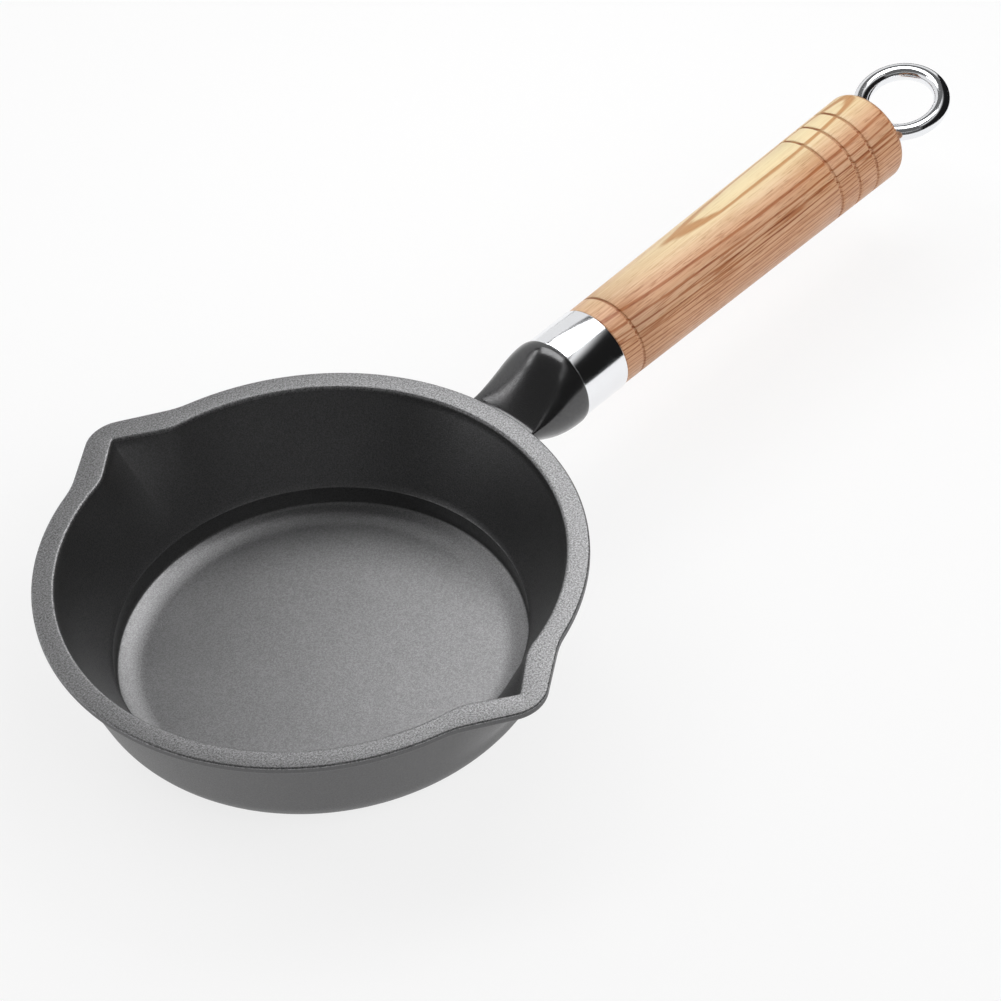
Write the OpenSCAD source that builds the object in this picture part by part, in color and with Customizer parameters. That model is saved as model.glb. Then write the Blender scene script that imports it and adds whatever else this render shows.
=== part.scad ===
/* [Bowl] */
// Outer radius of the rim
rim_r = 70; // [60:0.5:80]
// Height of the rim's top over the table
pan_h = 35.5; // [30:0.5:45]
// Width of the rim's flat top
rim_w = 5; // [4:0.1:7]
// Height of the rim's outer edge
rim_h = 2.4; // [2:0.1:4]
// How far the rim stands out over the wall
rim_overhang = 2.2; // [1:0.1:3]
// Bevel along the rim's inner edge
rim_bevel = 0.9; // [0.4:0.1:1.4]
// Rounding of the rim's lower outer edge
rim_round = 0.9; // [0.5:0.1:1.2]
// Thickness of the floor
floor_t = 3.6; // [3:0.1:6]
// Radius of the flat that the pan stands on
foot_r = 45.5; // [38:0.5:48]
// Radius of the outer corner between foot and wall
foot_round = 15.5; // [10:0.5:17]
// How much narrower the flat cooking floor is than the flat under it, from the middle
floor_in = 0.5; // [-2.5:0.5:7.5]
// Radius of the inner corner between floor and wall
floor_round = 7.5; // [5:0.5:9]
// Width of the step where the inner corner meets the wall
step_w = 0.6; // [0.3:0.1:1]

/* [Pouring spouts] */
// How far a spout's rounded tip stands out past the rim
spout_reach = 8; // [4:0.5:18]
// Radius of the tip, seen from above
spout_nose = 10; // [6:0.5:12]
// Half width of a spout where its flanks leave the rim
spout_half = 19.1; // [14:0.1:24]
// Width of the rim that is left between the notch and the tip
lip_w = 5.4; // [4:0.1:7]
// Radius at the bottom of the pouring notch
notch_nose = 0.8; // [0.5:0.1:3]
// Half width of the notch where its flanks leave the bowl's mouth
notch_half = 12.1; // [8:0.1:16]
// Radius that blends each flank into the rim
spout_blend = 24; // [12:1:30]
// Radius that blends the notch into the wall
notch_blend = 14; // [8:1:30]
// Depth over which a spout fades into the wall
spout_depth = 20; // [14:0.5:22]

/* [Handle boss] */
// How far the handle's axis lies below the top of the rim
handle_drop = 3.5; // [2:0.1:6]
// How far the boss's end face stands out past the rim
boss_len = 19.4; // [16:0.1:28]
// Half width of the boss where it leaves the rim
boss_root_r = 8.6; // [7:0.1:10]
// Largest radius of the boss, at its shoulder
boss_r = 12.55; // [12.4:0.05:14]
// Length of the boss's turned shoulder
shoulder_len = 4.8; // [3:0.1:7]
// Radius of the spigot that the ferrule slides on
spigot_r = 11.4; // [8:0.05:11.5]
// Length of that spigot
spigot_len = 5; // [3:0.5:6]
// Radius of the threaded hole for the tie rod
thread_r = 3; // [2.5:0.1:4]
// Depth of that hole from the spigot's face
thread_depth = 18; // [12:0.5:19]

/* [Wooden handle] */
// Outer radius of the ferrule
ferrule_r = 12.1; // [11.9:0.05:12.3]
// Length of the ferrule
ferrule_len = 15.1; // [12:0.1:20]
// Length of the wood that shows
wood_len = 110; // [90:0.5:130]
// Radius of the wood next to the ferrule
wood_front_r = 11.8; // [11.7:0.05:12.3]
// Radius of the wood at its tail
wood_tail_r = 12.95; // [12.5:0.05:15]
// Rounding of the wood's tail edge
tail_round = 2.7; // [1.5:0.1:4]
// Radius of the bore through the wood
bore_r = 3.4; // [3.2:0.1:4.5]
// Distance of the front groove from the wood's front
front_groove_in = 6.5; // [3:0.1:12]
// Distance of the last groove from the wood's tail
tail_groove_in = 11.5; // [6:0.1:20]
// Distance between the grooves near the tail
groove_pitch = 7.15; // [4:0.05:10]
// Number of grooves near the tail
tail_grooves = 3; // [1:1:4]
// Radius of the turned grooves' round bottoms
groove_r = 0.7; // [0.4:0.05:0.9]

/* [Tie rod and ring] */
// Radius of the tie rod
rod_r = 2.95; // [2.3:0.05:2.95]
// Radius of the rod's collar
collar_r = 5.5; // [4.5:0.1:6.5]
// Thickness of the rod's collar
collar_t = 1.7; // [1.2:0.1:2.5]
// Outer radius of the tail washer
washer_r = 8; // [7:0.1:9]
// Thickness of the tail washer
washer_t = 1.5; // [1:0.1:2]
// Radius of the hanging ring, to the middle of its wire
ring_r = 11; // [9:0.1:14]
// Radius of the ring's wire
wire_r = 2.3; // [1.8:0.05:2.5]
// How far the ring leans up out of the handle's line, in degrees
ring_lean = 9; // [0:1:12]
// Where the thread stops the ring's turn, in degrees
ring_turn = 2; // [0:1:20]

/* [Hidden] */
$fn = 96;

// Colours
iron = [0.27, 0.27, 0.28];
chrome = [0.8, 0.81, 0.83];
oak = [0.84, 0.66, 0.43];
steel = [0.68, 0.69, 0.7];

// Steps of the cast skin: along a quarter turn, and along each curve of the profile
quarter_steps = 33;
// Above 1, the steps of a quarter turn crowd together at the spout
crowding = 1.5;
corner_steps = 6;
wall_steps = 5;
// How quickly a spout fades with depth: 1 is a straight fade
fade = 1.4;

// Places along the handle
axis_z = pan_h - handle_drop;
boss_end = rim_r + boss_len;
spigot_face = boss_end + spigot_len;
wood_front = boss_end + ferrule_len;
wood_tail = wood_front + wood_len;

// Clearances
slide_gap = 0.05;
loose_gap = 0.2;
tenon_gap = 0.3;
overrun = 1;

// The ferrule is a thin tube over the spigot and the wood's tenon
ferrule_bore_r = spigot_r + slide_gap;
ferrule_bevel = 0.2;
tenon_r = ferrule_bore_r - slide_gap;

// The wood's tail holds the washer and the rod's collar
recess_r = washer_r + loose_gap;
washer_bore_r = rod_r + 2 * slide_gap;
collar_face = wood_tail;
washer_face = collar_face - collar_t;
recess_floor = washer_face - washer_t;

// The outer wall runs straight from under the rim to the foot's round corner, which it
// touches without a kink. Its slant is the angle that it leans outwards from upright.
rim_under = pan_h - rim_h;
wall_top_r = rim_r - rim_overhang;
wall_dx = wall_top_r - foot_r;
wall_dz = rim_under - foot_round;
wall_reach = sqrt(pow(wall_dx, 2) + pow(wall_dz, 2));
wall_slant = acos(foot_round / wall_reach) - atan2(wall_dz, wall_dx);

// The inner wall runs from the rim's bevel down to the step over the inner corner
rim_top_in = rim_r - rim_w;
mouth_r = rim_top_in - rim_bevel;
floor_r = foot_r - floor_in;
corner_share = 0.96;
step_angle = acos(1 - corner_share);
step_z = floor_t + floor_round * corner_share;
step_in = floor_r + floor_round * sin(step_angle);
step_out = step_in + step_w;

// Angle from the nearest spout, in quarter turns that crowd the steps at the spout
function from_spout(share) = 90 * pow(share, crowding);

// Angles round the bowl: each is [direction, angle from the nearest spout]
function quarter(start, side) = [
    for (i = [0:quarter_steps - 1])
        let (
            share = side > 0 ? i / quarter_steps : 1 - i / quarter_steps,
            away = from_spout(share)
        )
        [start + (side > 0 ? away : 90 - away), away]
];
bearings = concat(quarter(-90, 1), quarter(0, -1), quarter(90, 1), quarter(180, -1));

// The slant of a flank that starts on a circle, at a distance from the spout's middle line,
// and touches the round nose
function flank_slant(circle_r, tip, nose, half) =
    let (
        start_x = sqrt(pow(circle_r, 2) - pow(half, 2)),
        dx = tip - nose - start_x,
        gap = sqrt(pow(dx, 2) + pow(half, 2))
    )
    atan2(dx, half) + asin(nose / gap);

// How far a spout's outline stands out of a circle, at an angle from the spout:
// a round nose, a straight flank, and a hollow blend that ends on the circle
function outline_reach(away, circle_r, tip, nose, slant, blend) =
    let (
        flank = (tip - nose) * cos(slant) + nose,
        nose_end = atan2(nose * sin(slant), tip - nose + nose * cos(slant)),
        blend_c = circle_r + blend,
        blend_end = slant - acos((flank + blend) / blend_c),
        blend_start = atan2(
            blend_c * sin(blend_end) - blend * sin(slant),
            blend_c * cos(blend_end) - blend * cos(slant)
        ),
        back = blend_end - away
    )
    away >= blend_end ? 0
    : away >= blend_start ?
        blend_c * cos(back) - sqrt(pow(blend, 2) - pow(blend_c * sin(back), 2)) - circle_r
    : away >= nose_end ? flank / cos(away - slant) - circle_r
    : (tip - nose) * cos(away) + sqrt(pow(nose, 2) - pow((tip - nose) * sin(away), 2)) - circle_r;

spout_tip = rim_r + spout_reach;
notch_tip = spout_tip - lip_w - rim_bevel;
spout_slant = flank_slant(rim_r, spout_tip, spout_nose, spout_half);
notch_slant = flank_slant(mouth_r, notch_tip, notch_nose, notch_half);
function outer_reach(away) =
    outline_reach(away, rim_r, spout_tip, spout_nose, spout_slant, spout_blend);
function inner_reach(away) =
    outline_reach(away, mouth_r, notch_tip, notch_nose, notch_slant, notch_blend);

// What is left of a spout at a depth below the rim
function spout_left(depth) = depth >= spout_depth ? 0 : pow(1 - depth / spout_depth, fade);

// The skin's profile, from the middle of the foot over the rim to the middle of the floor.
// Each station is [radius, height, share of the spout's reach, 0 outside or 1 inside].
foot_stations = [
    for (i = [0:corner_steps])
        let (turn = (90 - wall_slant) * i / corner_steps)
        [foot_r + foot_round * sin(turn), foot_round * (1 - cos(turn)), 0, 0]
];
foot_top = foot_stations[corner_steps];
outer_stations = [
    for (i = [1:wall_steps])
        let (
            share = i / wall_steps,
            z = foot_top[1] + (rim_under - foot_top[1]) * share
        )
        [foot_top[0] + (wall_top_r - foot_top[0]) * share, z, spout_left(rim_under - z), 0]
];
rim_stations = [
    [rim_r - rim_round, rim_under, 1, 0],
    [rim_r - rim_round * (1 - sin(45)), rim_under + rim_round * (1 - cos(45)), 1, 0],
    [rim_r, rim_under + rim_round, 1, 0],
    [rim_r, pan_h - rim_round / 2, 1, 0],
    [rim_r - rim_round / 2, pan_h, 1, 0],
    [rim_top_in, pan_h, 1, 1],
    [mouth_r, pan_h - rim_bevel, 1, 1]
];
inner_stations = [
    for (i = [1:wall_steps])
        let (
            share = i / wall_steps,
            z = pan_h - rim_bevel + (step_z - pan_h + rim_bevel) * share
        )
        [mouth_r + (step_out - mouth_r) * share, z, spout_left(pan_h - rim_bevel - z), 1]
];
floor_stations = [
    for (i = [0:corner_steps])
        let (turn = step_angle * (1 - i / corner_steps))
        [floor_r + floor_round * sin(turn), floor_t + floor_round * (1 - cos(turn)), 0, 1]
];
stations = concat(foot_stations, outer_stations, rim_stations, inner_stations, floor_stations);

// One point of the skin
function skin_point(station, bearing) =
    let (
        reach = station[3] == 0 ? outer_reach(bearing[1]) : inner_reach(bearing[1]),
        r = station[0] + station[2] * reach
    )
    [r * cos(bearing[0]), r * sin(bearing[0]), station[1]];

// Triangles between the rings of a closed form, with a middle point at each end
function ring_faces(rings, sides) = concat(
    [for (k = [0:rings - 2], i = [0:sides - 1])
        let (a = k * sides + i, b = k * sides + (i + 1) % sides)
        [a, a + sides, b]],
    [for (k = [0:rings - 2], i = [0:sides - 1])
        let (a = k * sides + i, b = k * sides + (i + 1) % sides)
        [b, a + sides, b + sides]],
    [for (i = [0:sides - 1]) [i, (i + 1) % sides, rings * sides]],
    [for (i = [0:sides - 1])
        let (last = (rings - 1) * sides)
        [last + i, rings * sides + 1, last + (i + 1) % sides]]
);

// The cast skin of the bowl, with its rim and both spouts
module bowl_skin() {
    sides = len(bearings);
    points = concat(
        [for (s = stations, b = bearings) skin_point(s, b)],
        [[0, 0, 0], [0, 0, floor_t]]
    );
    polyhedron(points, ring_faces(len(stations), sides), convexity = 6);
}

// The boss swells from a low, narrow root in the rim to a round, turned shoulder.
// The swelling ends just inside the shoulder, so that the two meet without a step.
boss_sides = 40;
boss_steps = 8;
boss_top_gap = 0.4;
root_depth = 4.6;
swell_inset = 0.04;
swell_lap = 0.3;
plug_len = 1;
plug_inset = 0.5;
shoulder_x = boss_end - shoulder_len;
swell_end = shoulder_x + swell_lap;
swell_r = boss_r - swell_inset;
root_x = rim_r - root_depth;
root_up = handle_drop - boss_top_gap;

// The shoulder's crown, as shares of its length and of its drop
crown_drop = 0.15;
edge_round = 0.45;
crown_shares = [[0, 0], [0.45, 0.25], [1, 1]];
seam_turn = 3;

// One ring of the boss: half width, height above and below the axis, and lean of its plane
function boss_ring(x, wide, up, down, lean) = [
    for (i = [0:boss_sides - 1])
        let (
            turn = 360 * i / boss_sides,
            z = cos(turn) * (cos(turn) > 0 ? up : down)
        )
        [x + z * lean, -wide * sin(turn), axis_z + z]
];
boss_rings = concat(
    [for (i = [0:boss_steps])
        let (
            share = i / boss_steps,
            swell = (1 - cos(180 * share)) / 2,
            wide = boss_root_r + (swell_r - boss_root_r) * swell
        )
        boss_ring(
            root_x + (swell_end - root_x) * share,
            wide,
            root_up + (swell_r - root_up) * swell,
            wide,
            tan(wall_slant) * (1 - share)
        )],
    [boss_ring(swell_end + plug_len, swell_r - plug_inset, swell_r - plug_inset,
        swell_r - plug_inset, 0)]
);

module boss_skin() {
    points = concat(
        [for (ring = boss_rings, p = ring) p],
        [[root_x, 0, axis_z], [swell_end + plug_len, 0, axis_z]]
    );
    polyhedron(points, ring_faces(len(boss_rings), boss_sides), convexity = 4);
}

// The shoulder with its crown and rounded edge, and the spigot in front of it
module boss_shoulder() {
    crown_len = shoulder_len - edge_round;
    face_r = boss_r - crown_drop - edge_round;
    rotate_extrude() union() {
        polygon(concat(
            [for (s = crown_shares) [boss_r - crown_drop * s[1], crown_len * s[0]]],
            [
                [face_r, crown_len],
                [face_r, shoulder_len],
                [spigot_r, shoulder_len],
                [spigot_r, shoulder_len + spigot_len],
                [0, shoulder_len + spigot_len],
                [0, 0]
            ]
        ));
        translate([face_r, crown_len]) circle(r = edge_round);
    }
}

// Turns a form made along Z so that it lies along the handle's axis, from x onwards
module along_handle(x) {
    translate([x, 0, axis_z]) rotate([0, 90, 0]) children();
}

// The bowl, its rim, both spouts and the handle's boss are one casting.
// The turned forms start a little off the swelling's own corners.
module pan_body() {
    color(iron) difference() {
        union() {
            bowl_skin();
            boss_skin();
            along_handle(shoulder_x) rotate([0, 0, seam_turn]) boss_shoulder();
        }
        along_handle(spigot_face - thread_depth)
            rotate([0, 0, seam_turn])
                cylinder(h = thread_depth + overrun, r = thread_r);
    }
}

// A bright tube that covers the joint between casting and wood
module ferrule() {
    color(chrome) along_handle(boss_end) rotate_extrude() polygon([
        [ferrule_bore_r, 0],
        [ferrule_r - ferrule_bevel, 0],
        [ferrule_r, ferrule_bevel],
        [ferrule_r, ferrule_len - ferrule_bevel],
        [ferrule_r - ferrule_bevel, ferrule_len],
        [ferrule_bore_r, ferrule_len]
    ]);
}

// Radius of the wood at a distance from its front
function wood_r(x) = wood_front_r + (wood_tail_r - wood_front_r) * x / wood_len;

// A ring-shaped cutter for one turned groove
module groove_cut(x) {
    translate([wood_r(x), x]) circle(r = groove_r);
}

// The turned grip: a tenon for the ferrule, grooves, a bore and a recess in its tail
module wood_handle() {
    tenon_start = spigot_face + tenon_gap - wood_front;
    round_z = wood_len - tail_round;
    color(oak) along_handle(wood_front) difference() {
        rotate_extrude() difference() {
            union() {
                polygon([
                    [0, tenon_start],
                    [tenon_r, tenon_start],
                    [tenon_r, 0],
                    [wood_front_r, 0],
                    [wood_r(round_z), round_z],
                    [wood_r(round_z) - tail_round, round_z],
                    [wood_r(round_z) - tail_round, wood_len],
                    [0, wood_len]
                ]);
                translate([wood_r(round_z) - tail_round, round_z]) circle(r = tail_round);
            }
            groove_cut(front_groove_in);
            for (i = [0:tail_grooves - 1]) groove_cut(wood_len - tail_groove_in - i * groove_pitch);
        }
        translate([0, 0, tenon_start - overrun])
            cylinder(h = wood_len - tenon_start + 2 * overrun, r = bore_r);
        translate([0, 0, recess_floor - wood_front])
            cylinder(h = wood_len, r = recess_r);
    }
}

// The ring's own place: it touches the collar's face, turned and leaning as it stops
module at_ring() {
    translate([collar_face, 0, axis_z])
        rotate([ring_turn, 0, 0])
            rotate([0, -ring_lean, 0])
                translate([ring_r + wire_r, 0, 0])
                    children();
}

module ring_wire() {
    rotate_extrude() translate([ring_r, 0]) circle(r = wire_r);
}

// A rod from the casting's thread to the tail, with a collar and an end shaped to the ring
module tie_rod() {
    rod_start = spigot_face - thread_depth + tenon_gap;
    rod_end = collar_face + wire_r;
    color(steel) difference() {
        union() {
            along_handle(rod_start) cylinder(h = rod_end - rod_start, r = rod_r);
            along_handle(washer_face) cylinder(h = collar_t, r = collar_r);
        }
        at_ring() ring_wire();
    }
}

// A flat washer at the bottom of the tail's recess
module tail_washer() {
    color(steel) along_handle(recess_floor) difference() {
        cylinder(h = washer_t, r = washer_r);
        translate([0, 0, -overrun]) cylinder(h = washer_t + 2 * overrun, r = washer_bore_r);
    }
}

// The ring to hang the pan by, welded to the rod's end
module hanging_ring() {
    color(chrome) at_ring() ring_wire();
}

pan_body();
ferrule();
wood_handle();
tie_rod();
tail_washer();
hanging_ring();
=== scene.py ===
# %% [markdown]
# A small cast iron pan with a turned oak handle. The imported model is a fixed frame:
# every piece below is made around it, in metres, with +X along the handle, +Z up and
# the origin in the middle of the pan's foot.

import math

import bmesh
import bpy
from mathutils import Matrix, Vector


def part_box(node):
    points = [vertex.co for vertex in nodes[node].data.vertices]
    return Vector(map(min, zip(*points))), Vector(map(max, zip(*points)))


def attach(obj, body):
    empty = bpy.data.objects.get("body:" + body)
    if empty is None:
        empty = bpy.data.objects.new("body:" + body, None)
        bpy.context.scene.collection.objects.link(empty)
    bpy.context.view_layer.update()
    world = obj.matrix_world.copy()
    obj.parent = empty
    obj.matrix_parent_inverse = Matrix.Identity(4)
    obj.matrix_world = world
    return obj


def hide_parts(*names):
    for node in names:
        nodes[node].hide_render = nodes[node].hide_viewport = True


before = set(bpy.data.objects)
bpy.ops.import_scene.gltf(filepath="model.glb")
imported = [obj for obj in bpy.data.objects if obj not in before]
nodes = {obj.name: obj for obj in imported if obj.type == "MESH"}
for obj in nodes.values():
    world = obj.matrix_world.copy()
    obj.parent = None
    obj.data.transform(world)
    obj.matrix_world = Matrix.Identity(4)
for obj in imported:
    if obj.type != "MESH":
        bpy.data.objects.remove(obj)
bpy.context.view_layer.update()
print("nodes:", ", ".join(sorted(nodes)))

# %% [markdown]
# All later places come from the frame. A node's box gives where the rim, the ferrule
# and the handle's axis lie, so the looks follow the model when its sizes change.

# %% Measure the frame
MM = 0.001
pan_low, pan_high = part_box("pan_body")
ferrule_low, ferrule_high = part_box("ferrule")
wood_low, wood_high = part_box("wood_handle")
washer_low, washer_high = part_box("tail_washer")

handle_drop = 3.5 * MM
floor_thickness = 3.6 * MM
axis_z = (ferrule_low.z + ferrule_high.z) / 2
rim_z = axis_z + handle_drop
rim_r = -pan_low.x
print(f"rim {rim_r / MM:.2f} mm at height {rim_z / MM:.2f} mm, handle axis {axis_z / MM:.2f} mm")

# %% [markdown]
# The camera stands where the photographer stood: high, in front of the bowl and to the
# side of the handle. A long lens makes the picture nearly free of perspective. It is
# placed by its direction, its height over the rim and a small tilt, because these are
# the numbers that a photographer could set on a tripod.

# %% Camera
camera_azimuth = math.radians(228.0604)
camera_elevation = math.radians(43.7277)
camera_roll = math.radians(-6.776)
camera_place = Vector((-0.58491, -0.72435, rim_z + 0.90287))

camera_data = bpy.data.cameras.new("camera")
camera_data.sensor_width = 36
camera_data.lens = 187.013
camera_data.clip_end = 100
camera = bpy.data.objects.new("camera", camera_data)
bpy.context.scene.collection.objects.link(camera)


def towards(azimuth, elevation):
    """The direction that points so far round from +X, and so far up, in radians."""
    flat = math.cos(elevation)
    return Vector((math.cos(azimuth) * flat, math.sin(azimuth) * flat, math.sin(elevation)))


backwards = towards(camera_azimuth, camera_elevation)
level_right = Vector((0, 0, 1)).cross(backwards).normalized()
level_up = backwards.cross(level_right)
right = math.cos(camera_roll) * level_right + math.sin(camera_roll) * level_up
up = math.cos(camera_roll) * level_up - math.sin(camera_roll) * level_right
turned_axes = Matrix((right, up, backwards)).transposed().to_4x4()
camera.matrix_world = Matrix.Translation(camera_place) @ turned_axes
bpy.context.scene.camera = camera
bpy.context.scene.view_settings.view_transform = "Standard"
print("camera at", tuple(round(c, 4) for c in camera_place))

# %% [markdown]
# A finish is worked out from maths on the surface's own place. This class wraps one
# socket of a node tree, so that an expression such as `1 - mask` adds the Math node that
# does it. Its `add` method makes every other kind of node.

# %% Shader maths
class Wire:
    def __init__(self, tree, socket=None):
        self.tree = tree
        self.socket = socket

    def add(self, kind, settings=None, inputs=None, out=0):
        node = self.tree.nodes.new(kind)
        for name, value in (settings or {}).items():
            setattr(node, name, value)
        for name, value in (inputs or {}).items():
            if isinstance(value, Wire):
                self.tree.links.new(value.socket, node.inputs[name])
            else:
                node.inputs[name].default_value = value
        return Wire(self.tree, node.outputs[out])

    def maths(self, operation, first, second):
        return self.add("ShaderNodeMath", {"operation": operation}, {0: first, 1: second})

    def at_least(self, other):
        return self.maths("MAXIMUM", self, other)

    def fraction(self):
        return self.add("ShaderNodeMath", {"operation": "FRACT"}, {0: self})

    def __add__(self, other):
        return self.maths("ADD", self, other)

    __radd__ = __add__

    def __sub__(self, other):
        return self.maths("SUBTRACT", self, other)

    def __rsub__(self, other):
        return self.maths("SUBTRACT", other, self)

    def __mul__(self, other):
        return self.maths("MULTIPLY", self, other)

    __rmul__ = __mul__

    def __truediv__(self, other):
        return self.maths("DIVIDE", self, other)

    def __pow__(self, other):
        return self.maths("POWER", self, other)

    def rise(self, low, high):
        """0 below low, 1 above high, and a soft step between them."""
        return self.add(
            "ShaderNodeMapRange",
            {"interpolation_type": "SMOOTHSTEP"},
            {"Value": self, "From Min": low, "From Max": high},
        )

    def mix(self, colour, other, blend="MIX"):
        """From colour, where this is 0, to other laid over it, where this is 1."""
        return self.add(
            "ShaderNodeMix",
            {"data_type": "RGBA", "blend_type": blend},
            {0: self, 6: colour, 7: other},
            out=2,
        )


def grey(value):
    return (value, value, value, 1)


# %% [markdown]
# Each material starts from the same few lines: one Principled shader and the point's own
# place in metres. `finish` sets what is the same all over the surface on the shader's own
# sockets.

# %% Start of a material
def start_material(name, **finish):
    material = bpy.data.materials.new(name)
    material.use_nodes = True
    tree = material.node_tree
    tree.nodes.clear()
    shader = tree.nodes.new("ShaderNodeBsdfPrincipled")
    output = tree.nodes.new("ShaderNodeOutputMaterial")
    tree.links.new(shader.outputs[0], output.inputs[0])
    for socket, value in finish.items():
        shader.inputs[socket.replace("_", " ")].default_value = value
    place = Wire(tree).add("ShaderNodeTexCoord", out="Object")
    return material, shader, place


def feed(shader, socket, value):
    shader.id_data.links.new(value.socket, shader.inputs[socket])


def parts_of(place):
    split = place.add("ShaderNodeSeparateXYZ", inputs={0: place})
    node = split.socket.node
    return [Wire(place.tree, node.outputs[i]) for i in range(3)]


def noise(place, size, detail=2.0, roughness=0.5, stretch=(1, 1, 1)):
    """Noise whose lumps are about size metres across, drawn out along an axis by stretch."""
    scaled = place.add(
        "ShaderNodeMapping", inputs={0: place, "Scale": [1 / (size * s) for s in stretch]}
    )
    return scaled.add(
        "ShaderNodeTexNoise",
        inputs={"Vector": scaled, "Scale": 1.0, "Detail": detail, "Roughness": roughness},
    )


def bump(shader, height, distance):
    feed(shader, "Normal", height.add("ShaderNodeBump", inputs={"Height": height, "Distance": distance}))


# %% [markdown]
# The studio is a pale floor that runs out to a pale round wall. Plain white paint alone
# would need so much light that the pan would burn out. So the paint is part plain white,
# which holds the pan's shadow, and part a glow that only the camera and mirror images see.

# %% Floor and backdrop
def new_object(name, points, faces):
    mesh = bpy.data.meshes.new(name)
    mesh.from_pydata(points, [], faces)
    made = bpy.data.objects.new(name, mesh)
    bpy.context.scene.collection.objects.link(made)
    return made


def upright_wall(name, radius, start, end, low, high, steps=24):
    """A wall of a round room, from one azimuth to another, in degrees."""
    angles = [math.radians(start + (end - start) * i / steps) for i in range(steps + 1)]
    flat = [(radius * math.cos(angle), radius * math.sin(angle)) for angle in angles]
    points = [(x, y, z) for z in (low, high) for x, y in flat]
    faces = [(i, i + 1, i + steps + 2, i + steps + 1) for i in range(steps)]
    wall = new_object(name, points, faces)
    return wall


def studio_paint(name, glow_share, colour):
    material, shader, place = start_material(name, Base_Color=grey(colour), Roughness=1.0)
    shader.inputs["Specular IOR Level"].default_value = 0.0
    tree = material.node_tree
    plain = Wire(tree, shader.outputs[0])
    glow = place.add("ShaderNodeEmission", inputs={"Strength": 1.0})
    camera_ray, glossy_ray, glass_ray = [
        place.add("ShaderNodeLightPath", out=f"Is {kind} Ray")
        for kind in ("Camera", "Glossy", "Transmission")
    ]
    seen = camera_ray.at_least(glossy_ray).at_least(glass_ray)
    both = place.add("ShaderNodeMixShader", inputs={0: seen * glow_share, 1: plain, 2: glow})
    tree.links.new(both.socket, tree.nodes["Material Output"].inputs[0])
    return material


def flat_card(name, low_x, low_y, high_x, high_y, z):
    corners = [(low_x, low_y, z), (high_x, low_y, z), (high_x, high_y, z), (low_x, high_y, z)]
    card = new_object(name, corners, [(0, 1, 2, 3)])
    return card


room_r = 12.0
room_height = 8.0
glow_share = 0.8
paint_tone = 0.9
white_paint = studio_paint("white_paint", glow_share, paint_tone)
floor = flat_card("floor", -room_r, -room_r, room_r, room_r, 0)
backdrop = upright_wall("backdrop", room_r, 0, 360, 0, room_height, steps=48)
for ground in (floor, backdrop):
    ground.data.materials.append(white_paint)

# %% [markdown]
# The main light is a soft box close above the handle. A far lamp would light the flat
# cooking floor evenly, but the real one grows paler towards the handle, and only a near
# lamp does that. A long strip at the side draws the line of light along the boss. Two large
# panels are hidden from mirror images, so that only dull surfaces such as the wood get
# light from them. The world adds a weak even level.

# %% Lamps
def area_lamp(name, size, radiance, place, target, along):
    """A soft box with a long side that runs along a direction."""
    data = bpy.data.lights.new(name, "AREA")
    data.shape = "RECTANGLE"
    data.size, data.size_y = size
    data.energy = math.pi * size[0] * size[1] * radiance
    lamp = bpy.data.objects.new(name, data)
    bpy.context.scene.collection.objects.link(lamp)
    back = (place - target).normalized()
    across = back.cross(along).normalized()
    axes = Matrix((across.cross(back), across, back)).transposed().to_4x4()
    lamp.matrix_world = Matrix.Translation(place) @ axes
    lamp.visible_camera = False
    return lamp


key_size = (0.28, 0.15)
key_radiance = 3.5
key_place = Vector((0.226, 0.074, 0.287))
key_target = Vector((0.06, 0, floor_thickness))
key_along = Vector((-0.31, 0.95, 0))
area_lamp("key", key_size, key_radiance, key_place, key_target, key_along)

strip_size = (0.50, 0.10)
strip_radiance = 3.4
strip_offset = Vector((-0.10, 0.57, 0.56))
boss_middle = Vector((ferrule_low.x - 10 * MM, 0, axis_z))
handle_way = Vector((1, 0, 0))
area_lamp("strip", strip_size, strip_radiance, boss_middle + strip_offset, boss_middle, handle_way)

panel_size = (1.2, 0.8)
panel_distance = 1.0
panel_elevation = math.radians(38)
panel_radiances = {-80: 2.2, 95: 1.5}
handle_middle = Vector(((wood_low.x + wood_high.x) / 2, 0, axis_z))
for azimuth, radiance in panel_radiances.items():
    way = towards(math.radians(azimuth), panel_elevation)
    panel_place = handle_middle + panel_distance * way
    panel = area_lamp("panel", panel_size, radiance, panel_place, handle_middle, handle_way)
    panel.visible_glossy = False

even_level = 0.12
world = bpy.data.worlds.new("studio")
bpy.context.scene.world = world
world.use_nodes = True
background = world.node_tree.nodes["Background"]
background.inputs["Color"].default_value = grey(1)
background.inputs["Strength"].default_value = even_level

# %% [markdown]
# Polished metal only looks like metal when it has something dark to mirror. Darker paint on
# the room itself would show behind the pan, so a dark screen stands beyond the handle,
# another one low behind the camera, and a dark card lies on the table past the ring. Only
# mirror images see them. The screens pale towards their tops, for soft edges in the ferrule.

# %% Dark screens
def dark_screen(screen, dark, pale, fade_low, fade_high):
    """Paints a screen that only mirror images see, dark below and pale towards its top."""
    paint, shader, place = start_material(screen.name, Base_Color=grey(0), Emission_Strength=1.0)
    shader.inputs["Specular IOR Level"].default_value = 0.0
    x, y, z = parts_of(place)
    feed(shader, "Emission Color", z.rise(fade_low, fade_high).mix(grey(dark), grey(pale)))
    screen.data.materials.append(paint)
    screen.visible_camera = False
    screen.visible_diffuse = False
    screen.visible_shadow = False
    print(f"{screen.name}: {dark} below {fade_low} m, {pale} above {fade_high} m")


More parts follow.
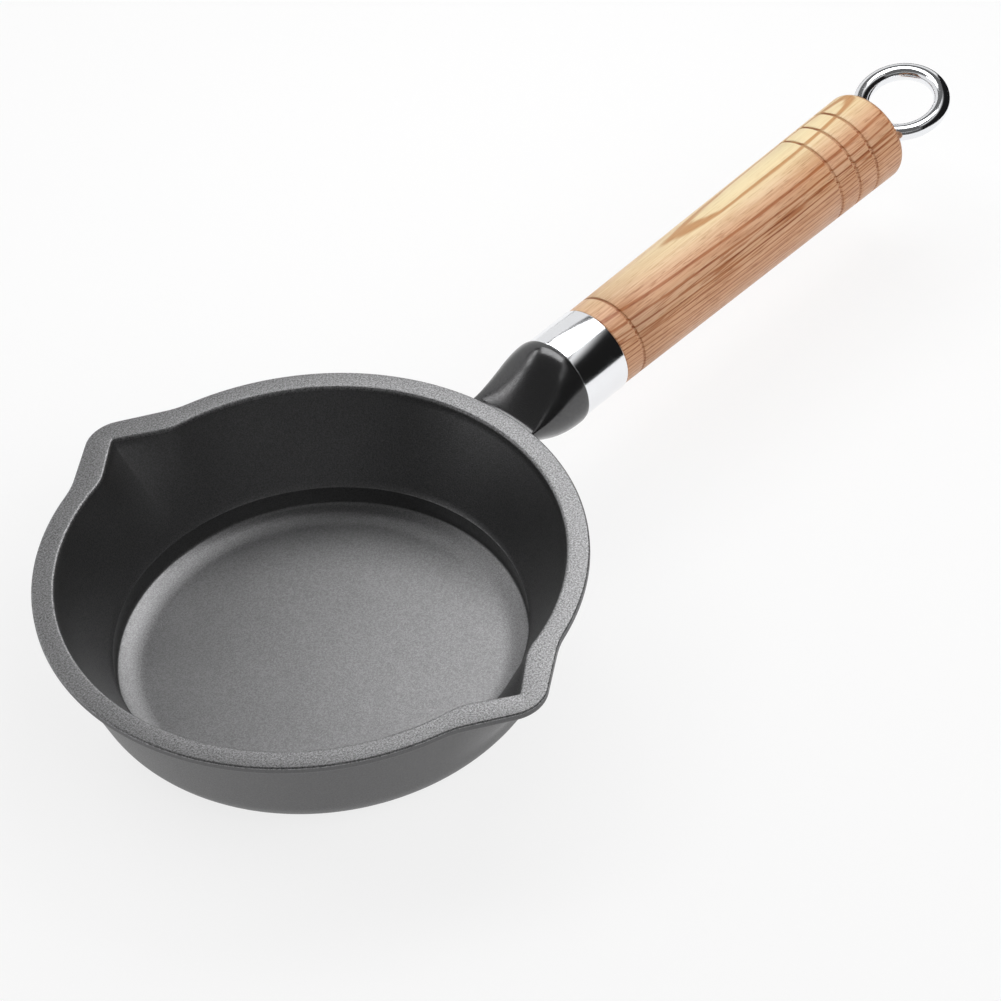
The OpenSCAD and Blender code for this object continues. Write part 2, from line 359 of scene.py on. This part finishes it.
black = 0.01
screen_r = 1.6
far_height = 2.8
near_height = 1.1
far_screen = upright_wall("far_screen", screen_r, -95, 18, 0, far_height)
near_screen = upright_wall("near_screen", screen_r, 160, 265, 0, near_height)
table_card = flat_card("table_card", 0.29, -1.2, 1.5, 0.4, MM)
dark_screen(far_screen, black, 0.9, 1.45, 2.6)
dark_screen(near_screen, 0.08, 0.3, 0.7, near_height)
dark_screen(table_card, black, black, 0, near_height)

# %% [markdown]
# The casting has a hard, fine-grained grey coating, full of tiny metal flakes. It could be
# a dull paint, but flakes behave like a rough metal: pale where it mirrors the lamps, on
# the flat rim and the cooking floor, and nearly black on the steep walls. One function
# makes the finish for all zones. Its arguments set the tone, how coarse and strong the
# grain is, and how rough it is. Inside the bowl the tone falls a little up the wall.

# %% Coated cast iron
cloud_size = 16 * MM
grain_relief = 0.02 * MM
wall_fade_start = 0.2 * MM
wall_fade_end = 8.0 * MM


def coated_iron(name, tone, grain_size, contrast, roughness, wall_tone=None, relief=grain_relief):
    material, shader, place = start_material(name, Metallic=0.9)
    grain = noise(place, grain_size, detail=2, roughness=0.7)
    fine = noise(place, grain_size * 0.45, detail=1)
    cloud = noise(place, cloud_size, detail=3)
    speck = 0.6 * grain.rise(0.3, 0.7) + 0.4 * fine.rise(0.3, 0.7)
    level = 1.0 + contrast * (speck - 0.5) + 0.16 * (cloud - 0.5)
    if wall_tone:
        x, y, z = parts_of(place)
        up_the_wall = z.rise(floor_thickness + wall_fade_start, floor_thickness + wall_fade_end)
        level = level * (1.0 - up_the_wall * (1.0 - wall_tone / tone))
    bright = level * tone
    colour = bright.add("ShaderNodeCombineXYZ", inputs={0: bright, 1: bright, 2: bright * 1.015})
    feed(shader, "Base Color", colour)
    feed(shader, "Roughness", roughness + 0.10 * (0.5 - speck) + 0.05 * (cloud - 0.5))
    bump(shader, speck, relief)
    return material


inside_iron = coated_iron(
    "iron_inside", tone=0.215, grain_size=0.42 * MM, contrast=0.6, roughness=0.35, wall_tone=0.18
)
rim_iron = coated_iron("iron_rim", tone=0.25, grain_size=0.5 * MM, contrast=1.3, roughness=0.42)
outside_iron = coated_iron(
    "iron_outside", tone=0.135, grain_size=0.4 * MM, contrast=0.25, roughness=0.45
)
boss_iron = coated_iron(
    "iron_boss", tone=0.10, grain_size=0.6 * MM, contrast=0.3, roughness=0.2, relief=0.003 * MM
)

# %% [markdown]
# The bowl is one skin through rings of points: from the middle of the foot up the outer
# wall, over the rim, down the inner wall and over the cooking floor. Seen from above, the
# rim's outline is a circle with a spout on each side: a round nose, straight flanks and
# hollow blends. The pouring notch inside follows the same rule with its own sizes.

# %% The outline of a spout
quarter_steps = 90
crowding = 1.5
spout_tip = pan_high.y
spout_nose = 10 * MM
spout_half = 19.1 * MM
spout_blend = 24 * MM
lip_width = 5.4 * MM
notch_nose = 0.8 * MM
notch_half = 12.1 * MM
notch_blend = 14 * MM
rim_width = 5 * MM
rim_bevel = 0.9 * MM
mouth_r = rim_r - rim_width - rim_bevel
notch_tip = spout_tip - lip_width - rim_bevel


def flank_slant(circle_r, tip, nose, half):
    """Slant of a flank that leaves the circle at a half width and touches the nose."""
    ahead = tip - nose - math.sqrt(circle_r ** 2 - half ** 2)
    return math.atan2(ahead, half) + math.asin(nose / math.hypot(ahead, half))


def outline_reach(away, circle_r, tip, nose, half, blend):
    """How far the outline stands out of the circle, at an angle from the spout."""
    slant = flank_slant(circle_r, tip, nose, half)
    flank = (tip - nose) * math.cos(slant) + nose
    nose_end = math.atan2(nose * math.sin(slant), tip - nose + nose * math.cos(slant))
    hollow = circle_r + blend
    hollow_end = slant - math.acos((flank + blend) / hollow)
    hollow_start = math.atan2(
        hollow * math.sin(hollow_end) - blend * math.sin(slant),
        hollow * math.cos(hollow_end) - blend * math.cos(slant),
    )
    back = hollow_end - away
    if away >= hollow_end:
        return 0
    if away >= hollow_start:
        inner = math.sqrt(blend ** 2 - (hollow * math.sin(back)) ** 2)
        return hollow * math.cos(back) - inner - circle_r
    if away >= nose_end:
        return flank / math.cos(away - slant) - circle_r
    middle = tip - nose
    return middle * math.cos(away) + math.sqrt(nose ** 2 - (middle * math.sin(away)) ** 2) - circle_r


def quarter(start, leaving):
    """Directions over a quarter turn, each with its angle from the nearest spout."""
    found = []
    for i in range(quarter_steps):
        share = i / quarter_steps if leaving else 1 - i / quarter_steps
        away = math.pi / 2 * share ** crowding
        found.append((start + (away if leaving else math.pi / 2 - away), away))
    return found


bearings = []
for turn in range(4):
    bearings += quarter(math.pi / 2 * (turn - 1), turn % 2 == 0)
spout_reaches = [outline_reach(away, rim_r, spout_tip, spout_nose, spout_half, spout_blend)
                 for direction, away in bearings]
notch_reaches = [outline_reach(away, mouth_r, notch_tip, notch_nose, notch_half, notch_blend)
                 for direction, away in bearings]
print(f"{len(bearings)} directions, spout reach {max(spout_reaches) / MM:.2f} mm,"
      f" notch reach {max(notch_reaches) / MM:.2f} mm")

# %% [markdown]
# Every outline in this file is made of straight stretches and arcs, so it keeps its true
# radii, and no point of it has to be typed in. These two helpers make both.

# %% Lines and arcs
def line(start, end, steps):
    """Points from start to end, without the start."""
    return [
        tuple(s + (e - s) * i / steps for s, e in zip(start, end)) for i in range(1, steps + 1)
    ]


def arc(across, up, radius, start, end, steps):
    """Points on an arc about (across, up), in degrees: 0 points across and 90 up."""
    angles = [math.radians(start + (end - start) * i / steps) for i in range(steps + 1)]
    return [(across + radius * math.cos(a), up + radius * math.sin(a)) for a in angles]


# %% [markdown]
# The bowl's profile is a list of stations: a radius, a height, how much of the spout's
# reach is left there, whether it is inside, and the finish of the face that follows. A
# spout fades into the wall with depth. The cooking floor turns up in a wide shallow dish,
# which catches a crescent of light, then in a tight corner to the steep lower wall, up to
# a fine step.

# %% The profile of the bowl
foot_r = 45.5 * MM
foot_round = 15.5 * MM
rim_side = 2.4 * MM
rim_overhang = 2.2 * MM
rim_round = 0.9 * MM
rim_edge = 0.5 * MM
floor_r = 45.4 * MM
floor_round = 18 * MM
floor_dish = 22
corner_round = 1.0 * MM
corner_top = -6
step_r = 52.8 * MM
step_z = 10.6 * MM
step_width = 0.3 * MM
step_round = 0.25 * MM
spout_depth = 20 * MM
fade = 1.4
edge_steps = 6
dish_steps = 10
foot_steps = 20
outer_steps = 12
inner_steps = 14
wall_top_r = rim_r - rim_overhang
rim_under = rim_z - rim_side
wall_run = wall_top_r - foot_r
wall_climb = rim_under - foot_round
wall_slant = (math.acos(foot_round / math.hypot(wall_run, wall_climb))
              - math.atan2(wall_climb, wall_run))
zones = [inside_iron, rim_iron, outside_iron, boss_iron]
inside, rim, outside, boss_zone = range(4)


def spout_left(depth):
    return max(0, 1 - depth / spout_depth) ** fade


def bowl_stations():
    lean = math.degrees(wall_slant)
    foot = arc(foot_r, foot_round, foot_round, -90, -lean, foot_steps)
    outer = line(foot[-1], (wall_top_r, rim_under), outer_steps)
    side_r = rim_r - rim_round
    side = arc(side_r, rim_under + rim_round, rim_round, -90, 0, edge_steps)
    top = arc(rim_r - rim_edge, rim_z - rim_edge, rim_edge, 0, 90, edge_steps)
    bevel = arc(mouth_r + rim_bevel, rim_z - rim_bevel, rim_bevel, 90, 180, edge_steps)
    inner = line(bevel[-1], (step_r + step_width, step_z + step_round), inner_steps)
    ledge = [(step_r + step_width - step_round, step_z), (step_r + 0.3 * step_round, step_z)]
    dish_z = floor_thickness + floor_round
    dish = arc(floor_r, dish_z, floor_round, floor_dish - 90, -90, dish_steps)
    dish_slope = math.radians(floor_dish)
    bend_r = dish[0][0] - corner_round * math.sin(dish_slope)
    bend_z = dish[0][1] + corner_round * math.cos(dish_slope)
    bend = arc(bend_r, bend_z, corner_round, corner_top, floor_dish - 90, edge_steps)
    bottom = bend[:-1] + dish
    found = [(r, z, 0, False, outside) for r, z in foot]
    found += [(r, z, spout_left(rim_under - z), False, outside) for r, z in outer]
    found += [(r, z, 1, False, outside) for r, z in side]
    found += [(r, z, 1, False, rim) for r, z in top]
    found += [(r, z, 1, True, rim) for r, z in bevel[:-1]]
    found += [(*bevel[-1], 1, True, inside)]
    found += [(r, z, spout_left(rim_z - rim_bevel - z), True, inside) for r, z in inner]
    found += [(r, z, 0, True, inside) for r, z in ledge + bottom]
    return found


# %% [markdown]
# Both the bowl and the boss are rings of points, joined into a closed skin with a middle
# point at each end. A spin could not make the spouts, and a sculpted mesh would not keep
# the sizes, while a loft follows both the profile and the outline exactly.

# %% The bowl
def face_outwards(piece):
    """Merges doubled points and turns all faces of a closed skin outwards."""
    work = bmesh.new()
    work.from_mesh(piece.data)
    bmesh.ops.remove_doubles(work, verts=work.verts, dist=1e-6)
    bmesh.ops.recalc_face_normals(work, faces=work.faces)
    work.to_mesh(piece.data)
    work.free()


def lofted(name, rings, ring_zones):
    count = len(rings[0])
    points = [point for ring in rings for point in ring]
    faces, face_zones = [], []
    for k in range(len(rings) - 1):
        for i in range(count):
            j = (i + 1) % count
            faces.append((k * count + i, k * count + j, (k + 1) * count + j, (k + 1) * count + i))
            face_zones.append(ring_zones[k])
    for ring, first, zone in ((rings[0], 0, ring_zones[0]),
                              (rings[-1], (len(rings) - 1) * count, ring_zones[-1])):
        points.append(sum((Vector(p) for p in ring), Vector()) / count)
        for i in range(count):
            faces.append((first + i, first + (i + 1) % count, len(points) - 1))
            face_zones.append(zone)
    piece = new_object(name, points, faces)
    for zone_material in zones:
        piece.data.materials.append(zone_material)
    piece.data.polygons.foreach_set("material_index", face_zones)
    face_outwards(piece)
    print(f"{name}: {len(piece.data.polygons)} faces")
    return piece


def bowl_ring(station):
    r, z, share, is_inside, zone = station
    reaches = notch_reaches if is_inside else spout_reaches
    return [
        ((r + share * reach) * math.cos(direction), (r + share * reach) * math.sin(direction), z)
        for (direction, away), reach in zip(bearings, reaches)
    ]


stations = bowl_stations()
bowl = lofted("bowl", [bowl_ring(station) for station in stations],
              [zone for r, z, share, is_inside, zone in stations])

# %% [markdown]
# The boss is a loft along the handle's axis, and each ring has its own half width, height
# and depth. It leaves the wall wide and flat, close under the rim, opens as a cone up to a
# short turned shoulder with a rounded edge, and ends in the spigot and the tapped hole
# that the ferrule and the rod need.

# %% The boss
boss_turns = 128
boss_root_r = 10.0 * MM
boss_root_low = 1.5 * MM
boss_root_lift = 2.0 * MM
boss_r = 12.55 * MM
boss_top_gap = 0.4 * MM
shoulder_len = 1.6 * MM
boss_end = ferrule_low.x
root_x = rim_r - 4.6 * MM
root_flare = 1.0 * MM
cone_share = 0.6
flare_len = 7.0 * MM
crown_drop = 0.15 * MM
crown_shares = (0.33, 0.67)
boss_steps = 36
edge_round = 0.45 * MM
spigot_r = 11.4 * MM
spigot_face = wood_low.x - 0.3 * MM
hole_r = 3.0 * MM
hole_depth = 18 * MM


def boss_ring(x, half_width, above, below, lean=0, lift=0):
    """A ring that reaches above and below the axis; lift raises its widest place."""
    points = []
    for turn in range(boss_turns):
        angle = 2 * math.pi * (turn + 0.5) / boss_turns
        z = lift + math.cos(angle) * (above - lift if math.cos(angle) > 0 else below + lift)
        points.append((x + z * lean, -half_width * math.sin(angle), axis_z + z))
    return points


def swell_at(share):
    """0 at the root and 1 at the shoulder: a straight cone that bends over at the end."""
    slope = 2 / (1 + cone_share)
    if share < cone_share:
        return slope * share
    return 1 - slope * (1 - share) ** 2 / (2 * (1 - cone_share))


def swell_rings():
    length = boss_end - shoulder_len - root_x
    low_top = handle_drop - boss_top_gap
    rings = []
    for i in range(boss_steps + 1):
        share = i / boss_steps
        swell = swell_at(share)
        flare = root_flare * max(0, 1 - share * length / flare_len) ** 2
        half_width = boss_root_r + (boss_r - boss_root_r) * swell + flare
        x = root_x + share * length
        top_share = max(0, (x - rim_r) / (root_x + length - rim_r))
        above = low_top + (boss_r - low_top) * swell_at(top_share)
        below = boss_root_low + (boss_r - boss_root_low) * swell + flare
        lean = math.tan(wall_slant) * (1 - share)
        lift = boss_root_lift * (1 - swell)
        rings.append(boss_ring(x, half_width, above, below, lean, lift))
    return rings


def round_rings():
    """The turned part, as distances from the shoulder's start and radii."""
    crown = shoulder_len - edge_round
    edge_r = boss_r - crown_drop - edge_round
    outline = [(crown * s, boss_r - crown_drop * s * s) for s in crown_shares]
    outline += arc(crown, edge_r, edge_round, 90, 0, edge_steps)
    spigot = spigot_face - boss_end + shoulder_len
    outline += [(shoulder_len, spigot_r), (spigot, spigot_r), (spigot, hole_r)]
    outline += [(spigot - hole_depth, hole_r)]
    return [boss_ring(boss_end - shoulder_len + x, r, r, r) for x, r in outline]


boss_rings = swell_rings() + round_rings()
boss = lofted("boss", boss_rings, [boss_zone] * len(boss_rings))

# %% [markdown]
# Bowl and boss are one casting, so they are joined into one skin. Edges where the two meet
# stay sharp, and so do true corners; everything else is shaded smoothly.

# %% The casting
def joined(piece, other):
    modifier = piece.modifiers.new("join", "BOOLEAN")
    modifier.operation = "UNION"
    modifier.solver = "EXACT"
    modifier.object = other
    evaluated = piece.evaluated_get(bpy.context.evaluated_depsgraph_get())
    mesh = bpy.data.meshes.new_from_object(evaluated)
    piece.modifiers.clear()
    piece.data = mesh
    bpy.data.objects.remove(other)


def shade_smoothly(piece, sharp_above, seam=()):
    """Smooth, but sharp at corners and where the given finish meets another one."""
    mesh = piece.data
    mesh.shade_smooth()
    work = bmesh.new()
    work.from_mesh(mesh)
    for edge in work.edges:
        if len(edge.link_faces) == 2:
            pair = {face.material_index for face in edge.link_faces}
            is_seam = len(pair) == 2 and any(zone in pair for zone in seam)
            edge.smooth = edge.calc_face_angle(0) < math.radians(sharp_above) and not is_seam
    work.to_mesh(mesh)
    work.free()


joined(bowl, boss)
casting = bowl
casting.name = "casting"
shade_smoothly(casting, 50, seam=[boss_zone])
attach(casting, "pan")
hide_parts("pan_body")
print("casting:", len(casting.data.polygons), "faces")

# %% [markdown]
# The ferrule and the ring are polished plate. A perfect mirror looks false, so a breath of
# haze varies the colour and the roughness a little. Plain steel is the same, duller.

# %% Bright metals
haze_size = 6 * MM
haze_dulling = 0.94


def bright_metal(name, colour, roughness, smear):
    material, shader, place = start_material(name, Metallic=1.0)
    haze = noise(place, haze_size, detail=3)
    hazy = [part * haze_dulling for part in colour]
    feed(shader, "Base Color", haze.mix((*colour, 1), (*hazy, 1)))
    feed(shader, "Roughness", roughness + smear * haze)
    return material


chrome = bright_metal("chrome", (0.93, 0.94, 0.96), 0.10, 0.05)
steel = bright_metal("steel", (0.6, 0.6, 0.6), 0.28, 0.12)

# %% [markdown]
# The grip and the ferrule were made on a lathe, and so are they here: each is one outline
# turned about the handle's axis. A screw modifier could do it too, but a short function
# also closes the seam and sets the sharp edges. An outline is a closed list of points, each
# a distance along the handle and a radius.

# %% Turning
def turned(name, outline, material, body, node, steps=144, sharp_above=35):
    count = len(outline)
    points = []
    for turn in range(steps):
        angle = 2 * math.pi * turn / steps
        points += [(x, r * math.sin(angle), axis_z + r * math.cos(angle)) for x, r in outline]
    faces = []
    for turn in range(steps):
        here, there = turn * count, (turn + 1) % steps * count
        for i in range(count):
            k = (i + 1) % count
            faces.append((here + i, here + k, there + k, there + i))
    piece = new_object(name, points, faces)
    face_outwards(piece)
    piece.data.materials.append(material)
    shade_smoothly(piece, sharp_above)
    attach(piece, body)
    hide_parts(node)
    print(f"{name}: {len(piece.data.polygons)} faces")
    return piece


# %% [markdown]
# The wood is oak, cut so that the growth rings run along the grip. Stripes drawn on its
# surface would break off at the tail, so the pattern is solid, as in a real tree. A growth
# ring is a shell round the tree's heart, so a point's place in the rings is its depth under
# the bark side, bent a little along its length. Where the surface lies along the rings they
# open into long arches, and where it cuts them steeply they make close straight lines. The
# bark side is pale sapwood on the grip's lit top, and the wood grows redder towards the
# heart on its shaded underside: partly the tree's own colour, partly painted light and shade.
# The lathe's grooves are darkened a little, as burn lines and as painted shade in the
# hollows, most on the +Y side.

# %% Oak
bark_side_gap = 0.9 * MM
widest_ring = 3.75 * MM
ring_power = 1.5
heart_away = 60 * MM
bark_turn = math.radians(20)
arch_x_share = 0.56
arch_bend = 0.45
sway_size = 30 * MM
sway_by = 1.2 * MM
wander_size = 5 * MM
wander_by = 0.7 * MM
# Depths at which the tint turns from the pale, lit top to the redder, shaded underside.
sapwood_light_depth = -0.8 * MM
heartwood_shade_depth = 4.5 * MM
dense_start = (6 * MM, 8.5 * MM)
dense_end = (10.5 * MM, 13 * MM)
# The grooves' darkening, burn lines and painted shade, starts and is full at these depths.
burn_shade_start = 0.12 * MM
burn_shade_full = 0.4 * MM
strength_size = 8 * MM
fibre_size = 0.45 * MM
dash_size = 0.5 * MM
pore_size = 0.3 * MM
pore_relief = 0.04 * MM
grip_front_r = 11.8 * MM
grip_tail_r = 12.95 * MM
grip_front_x = ferrule_high.x
grip_tail_x = wood_high.x
grip_len = grip_tail_x - grip_front_x
grip_slope = (grip_tail_r - grip_front_r) / grip_len
# The wood's two tints also hold painted light on the top and painted shade underneath.
sapwood_and_light_tint = (0.86, 0.74, 0.45, 1)
heartwood_and_shade_tint = (0.68, 0.39, 0.225, 1)
line_tint = (0.66, 0.43, 0.27, 1)
fibre_tint = (0.80, 0.66, 0.50, 1)
pore_tint = (0.62, 0.45, 0.33, 1)
# Tint of burn lines and painted shade in the grooves.
burn_and_shade_tint = (0.48, 0.27, 0.12, 1)


def oak_finish():
    material, shader, place = start_material("oak", IOR=1.45, Coat_Roughness=0.35)
    x, y, z = parts_of(place)
    up_from_axis = z - axis_z
    along = x - (grip_front_x + arch_x_share * grip_len)
    sway = noise(place, sway_size, detail=1, stretch=(2.5, 1, 1)) - 0.5
    wander = noise(place, wander_size, detail=3, stretch=(7, 1, 1)) - 0.5
    dy = y + heart_away * math.sin(bark_turn)
    dz = up_from_axis + heart_away * math.cos(bark_turn)
    from_heart = (dy * dy + dz * dz) ** 0.5
    depth = (heart_away + grip_tail_r) - from_heart + along * along * arch_bend
    depth = depth + sway * sway_by + wander * wander_by
    in_rings = (depth - bark_side_gap) / widest_ring
    ring_count = in_rings.at_least(0.0) ** ring_power
    ring = (ring_count + 0.12).fraction()
    first_line = in_rings.rise(-0.05, -0.02) * (1 - in_rings.rise(0.02, 0.07))
    late = ring.rise(0.0, 0.08) * (1 - ring.rise(0.20, 0.32)) * in_rings.rise(0.5, 0.6)
    late = late.at_least(first_line)
    strength = noise(place, strength_size, detail=1, stretch=(12, 1, 1)).rise(0.2, 0.5)
    fibres = noise(place, fibre_size, detail=3, stretch=(40, 1, 1))
    dashes = noise(place, dash_size, detail=1, stretch=(36, 1, 1)).rise(0.50, 0.62)
    pores = noise(place, pore_size, detail=1, stretch=(14, 1, 1)).rise(0.58, 0.72)
    # Painted light and shade: the pale sapwood tint lies on the lit top, the redder heartwood tint on
    # the shaded underside.
    heart_and_shade_share = depth.rise(sapwood_light_depth, heartwood_shade_depth)
    dense = depth.rise(*dense_start) * (1 - depth.rise(*dense_end))
    ground = (dense * 0.28).mix(heart_and_shade_share.mix(sapwood_and_light_tint, heartwood_and_shade_tint), line_tint)
    fibre_mask = fibres.rise(0.35, 0.75) * (0.25 + 0.45 * heart_and_shade_share)
    with_fibres = fibre_mask.mix(ground, fibre_tint, "MULTIPLY")
    lined = (late * (0.75 + 0.25 * strength)).mix(with_fibres, line_tint, "MULTIPLY")
    dashed = (dashes * (0.4 * heart_and_shade_share + 0.6 * dense)).mix(lined, line_tint, "MULTIPLY")
    pored = (pores * (0.12 + 0.5 * heart_and_shade_share)).mix(dashed, pore_tint, "MULTIPLY")
    radius = (y * y + up_from_axis * up_from_axis) ** 0.5
    below = (x - grip_front_x) * grip_slope + grip_front_r - radius
    # Painted shade: the grooves are darkened as burn lines and as shade in their hollows, most on the +Y
    # side.
    burn_and_shade = below.rise(burn_shade_start, burn_shade_full) * (0.15 + 0.85 * y.rise(-11 * MM, 6 * MM))
    feed(shader, "Base Color", burn_and_shade.mix(pored, burn_and_shade_tint, "MULTIPLY"))
    feed(shader, "Roughness", 0.45 + 0.15 * pores - 0.06 * late)
    feed(shader, "Coat Weight", 0.3 - 0.15 * pores)
    bump(shader, 0.0 - pores - 0.35 * late, pore_relief)
    return material


oak = oak_finish()

# %% [markdown]
# The grip is a slow taper with one groove near the ferrule and three near the tail, where
# the edge is well rounded. Cutting the grooves with a Boolean would leave hard lips, so
# they are part of the outline, with lips that are slightly soft, as sanded wood is. The
# outline goes on through the bore and the tail's recess, so the grip is a closed solid.

# %% The wooden grip
groove_r = 0.5 * MM
groove_lip = 0.12 * MM
tail_round = 2.7 * MM
tenon_r = 11.4 * MM
bore_r = 3.4 * MM
recess_r = (washer_high.z - washer_low.z) / 2 + 0.2 * MM
recess_x = washer_low.x
front_groove_in = 6.5 * MM
tail_groove_in = 11.5 * MM
groove_pitch = 7.15 * MM
groove_places = [grip_front_x + front_groove_in]
groove_places += [grip_tail_x - tail_groove_in - groove_pitch * i for i in (2, 1, 0)]


def grip_r(x):
    return grip_front_r + grip_slope * (x - grip_front_x)


def groove_points(x):
    surface = grip_r(x)
    points = [(x - groove_r - groove_lip, surface)]
    points += arc(x, surface, groove_r, 190, 350, 8)
    points += [(x + groove_r + groove_lip, surface)]
    return points


def body_points(start, end, count):
    places = [start + (end - start) * i / count for i in range(1, count)]
    return [(x, grip_r(x)) for x in places]


def grip_outline():
    shoulder = 0.35 * MM
    points = [(wood_low.x, bore_r), (wood_low.x, tenon_r), (grip_front_x, tenon_r)]
    points += [(grip_front_x, grip_front_r - shoulder), (grip_front_x + shoulder, grip_front_r)]
    last = grip_front_x + shoulder
    for x in groove_places:
        points += body_points(last, x - groove_r - groove_lip, 6)
        points += groove_points(x)
        last = x + groove_r + groove_lip
    round_x = grip_tail_x - tail_round
    round_r = grip_r(round_x) - tail_round
    points += body_points(last, round_x, 4)
    points += arc(round_x, round_r, tail_round, 90, 0, 10)
    lip = 0.4 * MM
    points += [(grip_tail_x, recess_r + lip), (grip_tail_x - lip, recess_r)]
    points += [(recess_x, recess_r), (recess_x, bore_r)]
    return points


turned("grip", grip_outline(), oak, "pan", "wood_handle", steps=160)

# %% [markdown]
# The ferrule is a thin bright tube. Its edges are rolled in a little, as on the real one,
# so each end shows a fine line of light, which a sharp edge would not.

# %% The ferrule
ferrule_r = (ferrule_high.z - ferrule_low.z) / 2
ferrule_bore = 11.45 * MM
edge_roll = 0.35 * MM


def ferrule_outline():
    points = [(ferrule_low.x, ferrule_bore)]
    points += arc(ferrule_low.x + edge_roll, ferrule_r - edge_roll, edge_roll, 180, 90, 5)
    points += arc(ferrule_high.x - edge_roll, ferrule_r - edge_roll, edge_roll, 90, 0, 5)
    points += [(ferrule_high.x, ferrule_bore)]
    return points


turned("bright_ferrule", ferrule_outline(), chrome, "pan", "ferrule", sharp_above=60)

# %% [markdown]
# The hanging ring is round wire bent to a circle. It follows a rule, so Geometry Nodes make
# it: they sweep a wire circle along a ring circle. Both radii are inputs of the tree, and
# the result is baked to a plain mesh.

# %% Geometry Nodes tree of the ring
wire_r = 2.3 * MM
ring_r = 11.0 * MM
ring_lean = math.radians(9)
ring_turn = math.radians(2)


def ring_tree():
    tree = bpy.data.node_groups.new("wire_ring", "GeometryNodeTree")
    sockets = tree.interface
    sockets.new_socket("Geometry", in_out="OUTPUT", socket_type="NodeSocketGeometry")
    for label in ("Ring radius", "Wire radius"):
        sockets.new_socket(label, in_out="INPUT", socket_type="NodeSocketFloat")
    for label in ("Ring steps", "Wire steps"):
        sockets.new_socket(label, in_out="INPUT", socket_type="NodeSocketInt")
    sockets.new_socket("Metal", in_out="INPUT", socket_type="NodeSocketMaterial")
    given = tree.nodes.new("NodeGroupInput")
    path = tree.nodes.new("GeometryNodeCurvePrimitiveCircle")
    section = tree.nodes.new("GeometryNodeCurvePrimitiveCircle")
    sweep = tree.nodes.new("GeometryNodeCurveToMesh")
    smooth = tree.nodes.new("GeometryNodeSetShadeSmooth")
    real = tree.nodes.new("GeometryNodeRealizeInstances")
    paint = tree.nodes.new("GeometryNodeSetMaterial")
    result = tree.nodes.new("NodeGroupOutput")
    tree.links.new(given.outputs["Ring radius"], path.inputs["Radius"])
    tree.links.new(given.outputs["Ring steps"], path.inputs["Resolution"])
    tree.links.new(given.outputs["Wire radius"], section.inputs["Radius"])
    tree.links.new(given.outputs["Wire steps"], section.inputs["Resolution"])
    tree.links.new(path.outputs["Curve"], sweep.inputs["Curve"])
    tree.links.new(section.outputs["Curve"], sweep.inputs["Profile Curve"])
    tree.links.new(sweep.outputs["Mesh"], smooth.inputs["Geometry"])
    tree.links.new(smooth.outputs["Geometry"], real.inputs["Geometry"])
    tree.links.new(real.outputs["Geometry"], paint.inputs["Geometry"])
    tree.links.new(given.outputs["Metal"], paint.inputs["Material"])
    tree.links.new(paint.outputs["Geometry"], result.inputs["Geometry"])
    return tree


def grown(name, tree, values):
    """An object grown by a node tree with its inputs set, baked to a plain mesh."""
    seed = new_object(name + "_seed", [], [])
    modifier = seed.modifiers.new("grow", "NODES")
    modifier.node_group = tree
    for item in tree.interface.items_tree:
        if item.in_out == "INPUT":
            modifier[item.identifier] = values[item.name]
    evaluated = seed.evaluated_get(bpy.context.evaluated_depsgraph_get())
    mesh = bpy.data.meshes.new_from_object(evaluated)
    mesh.name = name
    bpy.data.objects.remove(seed)
    piece = bpy.data.objects.new(name, mesh)
    bpy.context.scene.collection.objects.link(piece)
    return piece


# %% [markdown]
# The ring is fixed to the rod's end. It leans up a little and is turned a little about the
# handle, as in the photograph, and its place is put into the mesh.

# %% The hanging ring
hanging = grown("wire_ring", ring_tree(), {
    "Ring radius": ring_r,
    "Wire radius": wire_r,
    "Ring steps": 128,
    "Wire steps": 40,
    "Metal": chrome,
})
centre_away = Matrix.Translation((ring_r + wire_r, 0, 0))
lean = Matrix.Rotation(-ring_lean, 4, "Y")
turn = Matrix.Rotation(ring_turn, 4, "X")
root = Matrix.Translation((grip_tail_x, 0, axis_z))
hanging.data.transform(root @ turn @ lean @ centre_away)
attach(hanging, "ring")
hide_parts("hanging_ring")
print("ring:", len(hanging.data.polygons), "faces")

# %% [markdown]
# The tie rod and its washer are plain turned pieces, nearly hidden in the tail. They keep
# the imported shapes, which are right, and only get their metal.

# %% Rod and washer
for node_name in ("tie_rod", "tail_washer"):
    nodes[node_name].data.materials.clear()
    nodes[node_name].data.materials.append(steel)
    print(node_name, "is plain steel")
